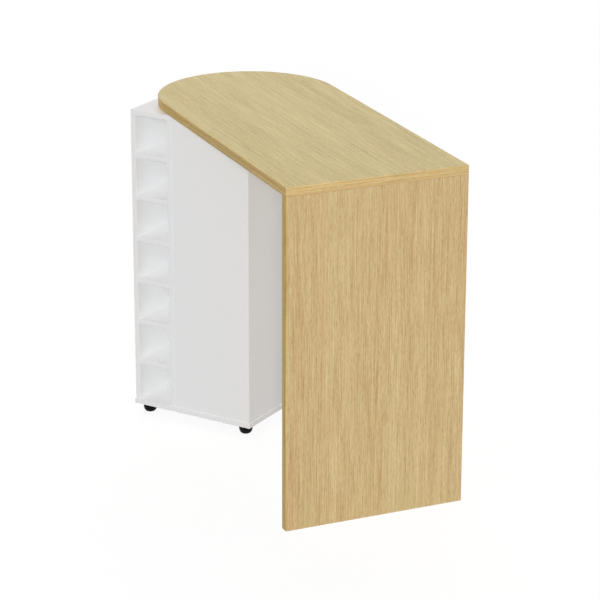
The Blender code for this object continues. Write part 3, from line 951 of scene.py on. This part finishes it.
def makeScrews():
    look = screwLook
    nodes = numbered("carcass_screw", 6)
    low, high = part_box(nodes[0])
    length = high.z - low.z
    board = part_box("cabinet_bottom")[1].z - low.z
    play = cabinetHoles["play"]
    head = cabinetHoles["screwHeadDepth"] - play
    headRadius = cabinetHoles["screwHead"] - play
    shank = cabinetHoles["screwShank"] - play
    core = cabinetHoles["screwCore"] - play - look["threadDepth"]
    curveTop, curveFoot = look["headCurve"]
    profile = [(0, length), (core * look["tipWidth"], length - look["tipRound"])]
    profile += [(core, length - look["tipLength"]), (core, board), (shank, board - look["shoulder"])]
    profile += [(shank, head + look["neck"]), (headRadius - look["headSlope"], head * curveTop)]
    profile += [(headRadius, head * curveFoot), *footEdge(headRadius, 0, look["headEasing"]), (0, 0)]
    screw = turnedMesh("screw", profile, look["sides"])
    key = prismShape(hexSides, look["socket"], -drillLook["overcut"], look["socketDepth"])
    setOut(
        "carcass_screws",
        "cabinet",
        "zinc",
        nodes,
        cut(screw, key),
        standing(nodes),
        threadedSet,
        threadStart=board + look["shoulder"],
        threadLength=length - board - look["tipLength"],
        threadRadius=core,
        **look,
    )


makeScrews()

dowelLook = {"flutes": 14, "fluteDepth": 0.00045, "chamfer": 0.0012, "endWidth": 0.8, "rings": 26}


def dowelTree():  # fluted rods standing on points
    shape = Shape("fluted dowels", "length radius fluteDepth chamfer", flutes="Int", rings="Int")
    length = shape.given("length")
    run = shape.add("GeometryNodeCurvePrimitiveLine", {"End": shape.vector(z=length)})
    sockets = {"Curve": run, "Count": shape.given("rings")}
    run = shape.add("GeometryNodeResampleCurve", sockets, mode="COUNT")
    radius = shape.given("radius")
    sockets = {"Points": shape.given("flutes"), "Outer Radius": radius}
    sockets["Inner Radius"] = radius - shape.given("fluteDepth")
    section = shape.add("GeometryNodeCurveStar", sockets)
    height = shape.add("GeometryNodeSplineParameter", out="Length")
    nearEnd = shape.reckon("MINIMUM", height, length - height)
    endWidth = dowelLook["endWidth"]
    taper = endWidth + (1 - endWidth) * nearEnd / shape.given("chamfer")
    dowel = shape.sweep(run, section, Scale=shape.reckon("MINIMUM", taper, 1.0))
    return shape.end(shape.atPoints(shape.given("Geometry"), dowel))


flutedDowels = dowelTree()


def makeDowels(name, nodes, body):
    low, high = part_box(nodes[0])
    holder = newObject(name, pointMesh(name, standing(nodes)))
    sizes = {"length": high.z - low.z, "radius": (high.x - low.x) / 2, **dowelLook}
    grow(holder, flutedDowels, finish=fittingFinish["beech"], **sizes)
    settle(holder, body, nodes, creases["fluted"])


makeDowels("carcass_dowels", numbered("carcass_dowel", 6), "cabinet")
makeDowels("panel_dowels", numbered("panel_dowel", 2), "table")

pinLook = {
    "sides": 24,
    "radius": 0.0025,
    "dome": ((0.55, 0.0001), (0.85, 0.0006), (1.0, 0.0016)),  # share of the radius, drop from the tip
    "groove": (0.0008, 0.0022),  # heights above the face of the board
    "neck": 0.0004,
    "easing": 0.0006,
}


def makePins():
    look = pinLook
    nodes = numbered("shelf_pin", 8)
    low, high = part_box(nodes[0])
    length = high.x - low.x
    radius, neck = look["radius"], look["neck"]
    face = cabinetHoles["pinDepth"] - cabinetHoles["play"]
    grooveLow, grooveHigh = [face + height for height in look["groove"]]
    profile = [(0, length)]
    profile += [(radius * share, length - fall) for share, fall in look["dome"]]
    profile += [(radius, grooveHigh), (radius - neck, grooveHigh - neck)]
    profile += [(radius - neck, grooveLow + neck), (radius, grooveLow)]
    profile += [*footEdge(radius, 0, look["easing"]), (0, 0)]
    bay = middleOf("front_panel").x
    places, ways = [], []
    for node in nodes:
        pinLow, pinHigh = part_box(node)
        pin = middleOf(node)
        fromLeft = pin.x < bay
        places.append((pinLow.x if fromLeft else pinHigh.x, pin.y, pin.z))
        ways.append(xAxis if fromLeft else -xAxis)
    mesh = turnedMesh("pin", profile, look["sides"])
    setOut("shelf_pins", "cabinet", "zinc", nodes, mesh, places, ways=ways)


makePins()
print("screws, dowels and pins made")


# swivel: bush and glide pads on the cabinet, bolt and insert on the table

bushLook = {
    "sides": 48,
    "bore": 0.0043,
    "mouth": 0.00048,
    "barrel": 0.0068,
    "barrelEasing": 0.0004,
    "flangeRound": 0.0008,
    "flangeEasing": 0.00032,
}


def makeBush():
    look = bushLook
    low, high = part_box("swivel_bush")
    bore, barrel, mouth = look["bore"], look["barrel"], look["mouth"]
    flange = (high.x - low.x) / 2
    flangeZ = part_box("glide_pad_1")[0].z  # flange and pads lie on the cabinet top
    profile = [(bore, low.z), (bore, high.z - mouth), (bore + mouth, high.z)]
    profile += roundTop(flange, high.z, look["flangeRound"])
    profile += [*footEdge(flange, flangeZ, look["flangeEasing"]), (barrel, flangeZ)]
    profile += [*footEdge(barrel, low.z, look["barrelEasing"]), (bore, low.z)]
    mesh = turnedMesh("bush", profile, look["sides"])
    setOut("pivot_bush", "cabinet", "nylon", ["swivel_bush"], mesh, [(pivot.x, pivot.y, 0)])


padLook = {"sides": 48, "rounding": 0.0008, "footEasing": 0.0003}


def makePads():
    nodes = numbered("glide_pad", 3)
    low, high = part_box(nodes[0])
    radius = (high.y - low.y) / 2
    height = high.z - low.z
    profile = [(0, height), *roundTop(radius, height, padLook["rounding"])]
    profile += [*footEdge(radius, 0, padLook["footEasing"]), (0, 0)]
    mesh = turnedMesh("pad", profile, padLook["sides"])
    setOut("glide_pads", "cabinet", "nylon", nodes, mesh, standing(nodes))


pivotBolt = {
    "sides": 48,
    "radius": 0.0040,
    "flangeRadius": 0.0120,
    "flangeHeight": 0.0020,
    "flangeEasing": 0.0004,
    "flangeRim": 0.0010,
    "hexRadius": 0.0075,
    "hexFillet": 0.0006,
    "hexEasing": 0.0004,
    "hexSteps": 2,
    "threadDepth": 0.0005,
    "threadPitch": 0.00125,
    "threadSink": 0.0001,
    "threadGap": 0.0006,
    "threadEnds": 0.002,
}


def makePivotBolt():
    look = pivotBolt
    low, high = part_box("swivel_bolt")
    length = high.z - low.z
    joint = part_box("swivel_insert")[0].z - low.z
    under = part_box("cabinet_top")[0].z - low.z - cabinetHoles["play"]
    hexTop = under - look["flangeHeight"]
    radius, depth, easing = look["radius"], look["threadDepth"], look["flangeEasing"]
    flange, hexRadius = look["flangeRadius"], look["hexRadius"]
    shank = radius - depth
    profile = [(0, length), *topEdge(shank, length, *boltEnd), (shank, joint), (radius, joint - depth)]
    profile += [(radius, under), *topEdge(flange, under, easing)]
    profile += [(flange - easing, under - look["flangeRim"]), (hexRadius + look["hexFillet"], hexTop)]
    profile.append((0, hexTop))
    stem = turnedMesh("bolt", profile, look["sides"])
    hexHead = prismShape(hexSides, hexRadius, 0, hexTop)
    ease(hexHead, hexHead.edges[:], look["hexEasing"], look["hexSteps"])
    setOut(
        "pivot_bolt",
        "table",
        "zinc",
        ["swivel_bolt"],
        meshOf("bolt", shapeOf(stem), hexHead),
        [(pivot.x, pivot.y, low.z)],
        threadedSet,
        threadStart=joint + look["threadGap"],
        threadLength=length - joint - look["threadEnds"],
        threadRadius=shank - look["threadSink"],
        **look,
    )


pivotInsert = {
    "sides": 48,
    "bore": 0.0043,
    "collar": 0.0012,  # how far it stands out from the core
    "collarHeights": (0.0016, 0.0010),
    "easing": 0.0002,
    "threadStart": 0.003,
    "threadEnds": 0.005,
    "threadDepth": 0.0011,
    "threadPitch": 0.0030,
}


def makePivotInsert():
    look = pivotInsert
    low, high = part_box("swivel_insert")
    radius = (high.x - low.x) / 2
    depth = high.z - low.z
    bore, core = look["bore"], radius - look["collar"]
    slopeTop, slopeFoot = look["collarHeights"]
    profile = [(bore, 0), (bore, depth), *topEdge(core, depth, *boltEnd), (core, slopeTop)]
    profile += [(radius, slopeFoot), *footEdge(radius, 0, look["easing"]), (bore, 0)]
    setOut(
        "pivot_insert",
        "table",
        "zinc",
        ["swivel_insert"],
        turnedMesh("insert", profile, look["sides"]),
        [(pivot.x, pivot.y, low.z)],
        threadedSet,
        threadLength=depth - look["threadEnds"],
        threadRadius=core,
        **look,
    )


makeBush()
makePads()
makePivotBolt()
makePivotInsert()
print("swivel made")


# cams and cam bolts between tabletop and end panel, in the table's own frame

camLook = {
    "sides": 40,
    "radius": 0.0072,
    "easing": 0.0006,
    "rim": 0.0007,
    "dish": (0.0012, 0.0014),  # in from the radius, at the face and at the bottom
    "dishDepth": 0.0004,
    "crossWidth": 0.0016,
    "crossLength": 0.0078,
    "crossDepth": 0.0034,
    "crossEasing": 0.0002,
    "crossSteps": 1,
    "pocketSides": 24,
    "pocket": 0.0037,
    "pocketReach": 0.6,  # past the cam's axis, as a share of the pocket's radius
}


def makeCams():
    look = camLook
    nodes = numbered("cam", 3)
    low, high = tableBox(nodes[0])
    length = high.x - low.x
    radius, pocketRadius, lead = look["radius"], look["pocket"], drillLook["overcut"]
    dishRim, dishFoot = [radius - inset for inset in look["dish"]]
    profile = [(0, length), *topEdge(radius, length, look["easing"]), *footEdge(radius, 0, look["rim"])]
    profile += [(dishRim, 0), (dishFoot, look["dishDepth"]), (0, look["dishDepth"])]
    cam = turnedMesh("cam", profile, look["sides"])
    arm, half = look["crossLength"] / 2, look["crossWidth"] / 2
    for long, short in ((arm, half), (half, arm)):
        corners = Vector((-long, -short, -lead)), Vector((long, short, look["crossDepth"]))
        cam = cut(cam, boxShape(*corners, look["crossEasing"], look["crossSteps"]))
    reach = pocketRadius * look["pocketReach"]
    pocket = prismShape(look["pocketSides"], pocketRadius, -radius - lead, reach)
    boltX = tableMiddle("cam_bolt_1").x - low.x
    pocket.transform(Matrix.Translation((0, 0, boltX)) @ Matrix.Rotation(math.pi / 2, 4, "X"))
    places = [(tableBox(node)[0].x, *tableMiddle(node).yz) for node in nodes]
    ways = [xAxis] * len(nodes)
    setOut("cams", "table", "zinc", nodes, cut(cam, pocket), places, ways=ways, place=tablePlace)


camBoltLook = {
    "sides": 24,
    "core": 0.0024,
    # radius and height of each corner, of the collar from the joint, of stem and head from the foot
    "collar": ((0.0024, 0.0006), (0.0038, 0), (0.0038, -0.0026), (0.0034, -0.0030), (0.0030, -0.0032)),
    "stem": ((0.0030, 0.0105), (0.0022, 0.0100), (0.0022, 0.0042)),
    "head": ((0.0030, 0.0040), (0.0034, 0.0034), (0.0034, 0.0008), (0.0026, 0), (0, 0)),
    "threadGap": 0.0012,
    "threadDepth": 0.0006,
    "threadPitch": 0.0020,
}


def makeCamBolts():
    look = camBoltLook
    nodes = numbered("cam_bolt", 3)
    low, high = tableBox(nodes[0])
    length = high.z - low.z
    joint = tableBox("end_panel")[1].z - low.z
    core = look["core"]
    profile = [(0, length), *topEdge(core, length, *boltEnd)]
    profile += [(radius, joint + height) for radius, height in look["collar"]]
    profile += [*look["stem"], *look["head"]]
    setOut(
        "cam_bolts",
        "table",
        "zinc",
        nodes,
        turnedMesh("cam bolt", profile, look["sides"]),
        [(*tableMiddle(node).xy, tableBox(node)[0].z) for node in nodes],
        threadedSet,
        place=tablePlace,
        threadStart=joint + look["threadGap"],
        threadLength=length - joint - 2 * look["threadGap"],
        threadRadius=core,
        **look,
    )


makeCams()
makeCamBolts()
print("cams made")


# oak tabletop, end panel and their edging

oakBoards = {
    "arcSteps": 144,
    "arcInset": 0.00016,  # keeps the smooth half-round inside the frame's box
    "seam": 0.00005,
    "edgingRound": 0.00125,
    "edgingSteps": 4,
    "seamEasing": 0.00015,
    "easing": 0.0004,
    "easingSteps": 2,
    "topGrain": 0.0,  # where in the decor a face starts
    "panelGrain": 2.9,
}

oakHoles = {"boltThread": 0.0033, "boltHole": 0.0041, "dowel": 0.0043, "play": 0.0003}


def jointHoles(boltRadius, level, way):  # for cam bolts and dowels, from the joint into a board
    radii = dict.fromkeys(numbered("cam_bolt", 3), boltRadius)
    radii |= dict.fromkeys(numbered("panel_dowel", 2), oakHoles["dowel"])
    holes = []
    for node, radius in radii.items():
        low, high = tableBox(node)
        depth = high.z - level if way.z > 0 else level - low.z
        holes.append(((*tableMiddle(node).xy, level), way, depth + oakHoles["play"], radius))
    return holes


def topHoles():
    play = oakHoles["play"]
    level = tableBox("tabletop")[0].z
    low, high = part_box("swivel_insert")
    insert = ((0, 0, level), zAxis, high.z - level + play, (high.x - low.x) / 2 + play)
    return [insert, *jointHoles(oakHoles["boltThread"], level, zAxis)]


def panelHoles():
    play = oakHoles["play"]
    low, high = tableBox("end_panel")
    holes = jointHoles(oakHoles["boltHole"], high.z, -zAxis)
    for node in numbered("cam", 3):
        mouth = (low.x, *tableMiddle(node).yz)
        holes.append((mouth, xAxis, tableBox(node)[1].x - low.x + play, camLook["radius"] + play))
    return holes


def halfRound(radius, reach):  # one long side, the half-round end, the other long side
    steps = oakBoards["arcSteps"]
    turns = [math.pi * (0.5 + step / steps) for step in range(steps + 1)]
    arc = [(radius * math.cos(turn), radius * math.sin(turn)) for turn in turns]
    return [(reach, radius), *arc, (reach, -radius)]


def edgingTree():  # an edging strip swept along the edge of the top, with its decor map
    shape = Shape("edging strip", "thickness height rounding easing", steps="Int")
    run = shape.add("GeometryNodeMeshToCurve", {"Mesh": shape.given("Geometry")})
    run = shape.add("GeometryNodeSetCurveNormal", {"Curve": run}, mode="Z_UP")
    length = shape.add("GeometryNodeSplineParameter", out="Length")
    sockets = {"Geometry": run, "Name": "runLength", "Value": length}
    run = shape.add("GeometryNodeStoreNamedAttribute", sockets, data_type="FLOAT", domain="POINT")
    outer = shape.reckon("GREATER_THAN", shape.position("X"), 0.0)
    easing = shape.given("easing")
    corner = easing + (shape.given("rounding") - easing) * outer
    thickness, height = shape.given("thickness"), shape.given("height")
    strip = shape.sweep(run, shape.roundedSection(thickness, height, corner, shape.given("steps")))
    decor = shape.vector(shape.field("runLength", "FLOAT"), shape.position("Z"))
    sockets = {"Geometry": strip, "Name": "grain", "Value": decor}
    strip = shape.add("GeometryNodeStoreNamedAttribute", sockets, data_type="FLOAT2", domain="CORNER")
    return shape.end(strip)


def makeTabletop():
    look = oakBoards
    low, high = tableBox("tabletop")
    stripLow, stripHigh = tableBox("top_edge_strip_end")
    strip = stripHigh.x - stripLow.x
    reach = stripLow.x - look["seam"]
    radius = tableBox("top_edge_strip_round")[1].y - look["arcInset"]
    outline = halfRound(radius - strip - look["seam"], reach)
    shape = bmesh.new()
    under = shape.faces.new([shape.verts.new((x, y, low.z)) for x, y in outline])
    raised = bmesh.ops.extrude_face_region(shape, geom=[under])["geom"]
    lifted = [item for item in raised if isinstance(item, bmesh.types.BMVert)]
    bmesh.ops.translate(shape, vec=(0, 0, high.z - low.z), verts=lifted)
    bmesh.ops.recalc_face_normals(shape, faces=shape.faces)
    top = newObject("tabletop.board", meshOf("tabletop", shape))
    drilled(top, topHoles(), oakTopWithPaintedSheen)
    mapGrain(top.data, xAxis, yAxis, zAxis, look["topGrain"])
    settle(top, "table", ["tabletop"], creases["board"], tablePlace)

    path = halfRound(radius - strip / 2, reach)
    level = (low.z + high.z) / 2
    run = bpy.data.meshes.new("edging run")
    run.from_pydata([(x, y, level) for x, y in path], [(n, n + 1) for n in range(len(path) - 1)], [])
    edging = newObject("top_edging_round", run)
    grow(
        edging,
        edgingTree(),
        thickness=strip,
        height=high.z - low.z,
        rounding=look["edgingRound"],
        easing=look["seamEasing"],
        steps=look["edgingSteps"],
        finish=oakEdge,
    )
    settle(edging, "table", ["top_edge_strip_round"], creases["board"], tablePlace)


def makeEndPanel():
    look = oakBoards
    low, high = tableBox("end_panel")
    low.y = tableBox("panel_edge_strip_left")[1].y + look["seam"]
    high.y = -low.y
    board = boxShape(low, high, look["easing"], look["easingSteps"])
    panel = newObject("end_panel.board", meshOf("end panel", board))
    drilled(panel, panelHoles(), oakPanel)
    mapGrain(panel.data, zAxis, yAxis, xAxis, look["panelGrain"])
    settle(panel, "table", ["end_panel"], creases["board"], tablePlace)


oakStrips = {  # node, the side it faces, the way its grain runs, start in the decor, finish
    # the square end's edging takes the painted lighter tone
    "top_edging_end": ("top_edge_strip_end", xAxis, yAxis, 4.1, oakEndPaintedLighter),
    "panel_edging_left": ("panel_edge_strip_left", -yAxis, zAxis, 5.3, oakEdge),
    "panel_edging_right": ("panel_edge_strip_right", yAxis, zAxis, 6.7, oakEdge),
}


def makeOakStrip(name, node, outward, along, start, finish):
    low, high = tableBox(node)
    across = zAxis if along == yAxis else xAxis
    mesh = meshOf(name, boxShape(low, high, oakBoards["edgingRound"], oakBoards["edgingSteps"], outward))
    mapGrain(mesh, along, across, outward, start)
    piece = newObject(name, mesh)
    mesh.materials.append(finish)
    settle(piece, "table", [node], creases["board"], tablePlace)


makeTabletop()
makeEndPanel()
for stripName, stripLook in oakStrips.items():
    makeOakStrip(stripName, *stripLook)
print("oak top, end panel and edging made")


# floor, light and camera

white = (1, 1, 1, 1)
studio = {
    "ambient": 0.312,
    "floorBounce": 0.30,
    "floorGlow": 0.80,
    "glowStrength": 1.06,
    "floorSize": 60.0,
    "sunDistance": 6,
    # strength in irradiance, then in degrees softness, azimuth from the front to the right and elevation;
    # the fills throw no shadow
    "suns": {
        "front": (1.78, 9, 29.5, 16, True),
        "back": (0.44, 40, 205, 50, True),
        "left fill": (0.52, 9, -100, 20, False),
        "right fill": (0.30, 9, 60, 20, False),
        "rear fill": (0.785, 9, 180, 25, False),
    },
    "tinted": {"front": (0.966, 0.980, 1.0)},  # suns that aren't white
}


def shownRays(nodes):  # 1 for what the camera sees, straight, mirrored or through glass
    kinds = ("Camera", "Glossy", "Transmission")
    rays = [nodes.add("ShaderNodeLightPath", out=f"Is {kind} Ray") for kind in kinds]
    return nodes.reckon("MAXIMUM", nodes.reckon("MAXIMUM", rays[0], rays[1]), rays[2])


def makeFloor():
    half = studio["floorSize"] / 2
    mesh = bpy.data.meshes.new("floor")
    corners = [(-half, -half, 0), (half, -half, 0), (half, half, 0), (-half, half, 0)]
    mesh.from_pydata(corners, [], [(0, 1, 2, 3)])
    floor = newObject("floor", mesh)
    material = bpy.data.materials.new("pale floor")
    material.use_nodes = True
    nodes = Nodes(material.node_tree)
    nodes.tree.nodes.clear()
    seen = shownRays(nodes)
    bounce = studio["floorBounce"]
    colour = nodes.mix(seen, (bounce, bounce, bounce, 1), white)
    matt = nodes.add("ShaderNodeBsdfDiffuse", {"Color": colour})
    glow = nodes.add("ShaderNodeEmission", {"Strength": studio["glowStrength"]})
    both = nodes.add("ShaderNodeMixShader", {0: seen * studio["floorGlow"], 1: matt, 2: glow})
    end = nodes.tree.nodes.new("ShaderNodeOutputMaterial")
    nodes.feed(end.inputs["Surface"], both)
    mesh.materials.append(material)


def makeLight():
    world = bpy.data.worlds.new("studio")
    world.use_nodes = True
    scene.world = world
    nodes = Nodes(world.node_tree)
    background = world.node_tree.nodes["Background"]
    ambient = studio["ambient"]
    nodes.feed(background.inputs["Color"], white)
    nodes.feed(background.inputs["Strength"], ambient + shownRays(nodes) * (1 - ambient))
    for name, (strength, softness, azimuth, elevation, shadow) in studio["suns"].items():
        lamp = bpy.data.lights.new(name, "SUN")
        lamp.energy = strength
        lamp.color = studio["tinted"].get(name, white[:3])
        lamp.angle = math.radians(softness)
        lamp.use_shadow = shadow
        light = newObject(name, lamp)
        light.visible_glossy = False  # soft light leaves no hot spots; mirrored rays see the white studio
        around, up = math.radians(azimuth), math.radians(elevation)
        way = Vector((math.sin(around) * math.cos(up), -math.cos(around) * math.cos(up), math.sin(up)))
        light.location = way * studio["sunDistance"]
        light.rotation_euler = way.to_track_quat("Z", "Y").to_euler()


photoView = {
    "lens": 157.62,
    "sensor": 36.0,
    "place": (3.89851, -6.54212, 3.21268),
    "aim": (0.01007, -0.00269, 0.50405),
    "roll": 0.13,
}


def makeCamera():
    lens = bpy.data.cameras.new("photo view")
    lens.lens = photoView["lens"]
    lens.sensor_width = photoView["sensor"]
    camera = newObject("photo view", lens)
    place = Vector(photoView["place"])
    look = (Vector(photoView["aim"]) - place).to_track_quat("-Z", "Y").to_matrix().to_4x4()
    roll = Matrix.Rotation(math.radians(photoView["roll"]), 4, "Z")
    camera.matrix_world = Matrix.Translation(place) @ look @ roll
    scene.camera = camera


makeFloor()
makeLight()
makeCamera()
print("floor, light and camera made")
